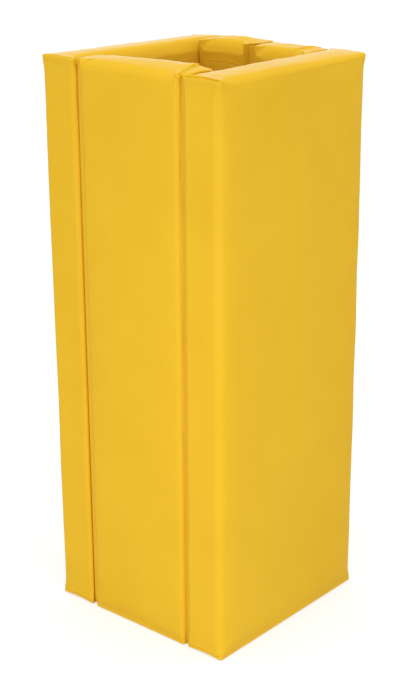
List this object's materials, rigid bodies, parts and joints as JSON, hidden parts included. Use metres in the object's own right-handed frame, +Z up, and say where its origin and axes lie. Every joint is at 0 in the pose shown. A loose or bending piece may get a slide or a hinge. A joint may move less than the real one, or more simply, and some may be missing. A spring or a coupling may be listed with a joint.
{
  "type": "column pad",
  "caption": "Square vinyl-covered foam pad that wraps a column: panels hinged on vinyl webs in sunk corner grooves, with a split rear side held by a hook-and-loop closing strip.",
  "frame": {"origin": "centre of the floor under the pad, on the column's axis", "axes": "+Z up along the column, -Y the unbroken front side, +Y the split rear side, +X the right side panel"},
  "size_m": [0.4108, 0.4108, 1.0668],
  "materials": {
    "yellow_vinyl": "satin",
    "cream_foam": "matte",
    "black_hook_and_loop": "matte"
  },
  "bodies": {
    "front_panel": {"front_foam_core": "cream_foam", "front_cover": "yellow_vinyl", "front_lining": "yellow_vinyl"},
    "left_panel": {"left_foam_core": "cream_foam", "left_cover": "yellow_vinyl", "left_lining": "yellow_vinyl", "front_left_web": "yellow_vinyl"},
    "right_panel": {"right_foam_core": "cream_foam", "right_cover": "yellow_vinyl", "right_lining": "yellow_vinyl", "front_right_web": "yellow_vinyl"},
    "rear_left_panel": {"rear_left_foam_core": "cream_foam", "rear_left_cover": "yellow_vinyl", "rear_left_lining": "yellow_vinyl", "rear_left_web": "yellow_vinyl", "closing_strip": "yellow_vinyl", "hook_tape": "black_hook_and_loop"},
    "rear_right_panel": {"rear_right_foam_core": "cream_foam", "rear_right_cover": "yellow_vinyl", "rear_right_lining": "yellow_vinyl", "rear_right_web": "yellow_vinyl", "loop_tape": "black_hook_and_loop"}
  },
  "joints": [
    {"name": "left_hinge", "type": "hinge", "parent": "front_panel", "child": "left_panel", "pos_m": [-0.1217, -0.1987, 0], "axis": [0, 0, 1], "range_deg": [0, 110], "deforming": ["front_left_web"]},
    {"name": "right_hinge", "type": "hinge", "parent": "front_panel", "child": "right_panel", "pos_m": [0.1217, -0.1987, 0], "axis": [0, 0, -1], "range_deg": [0, 110], "deforming": ["front_right_web"]},
    {"name": "rear_left_hinge", "type": "hinge", "parent": "left_panel", "child": "rear_left_panel", "pos_m": [-0.1217, 0.1987, 0], "axis": [0, 0, 1], "range_deg": [0, 110], "deforming": ["rear_left_web", "closing_strip", "hook_tape"]},
    {"name": "rear_right_hinge", "type": "hinge", "parent": "right_panel", "child": "rear_right_panel", "pos_m": [0.1217, 0.1987, 0], "axis": [0, 0, -1], "range_deg": [0, 110], "deforming": ["rear_right_web"]}
  ]
}
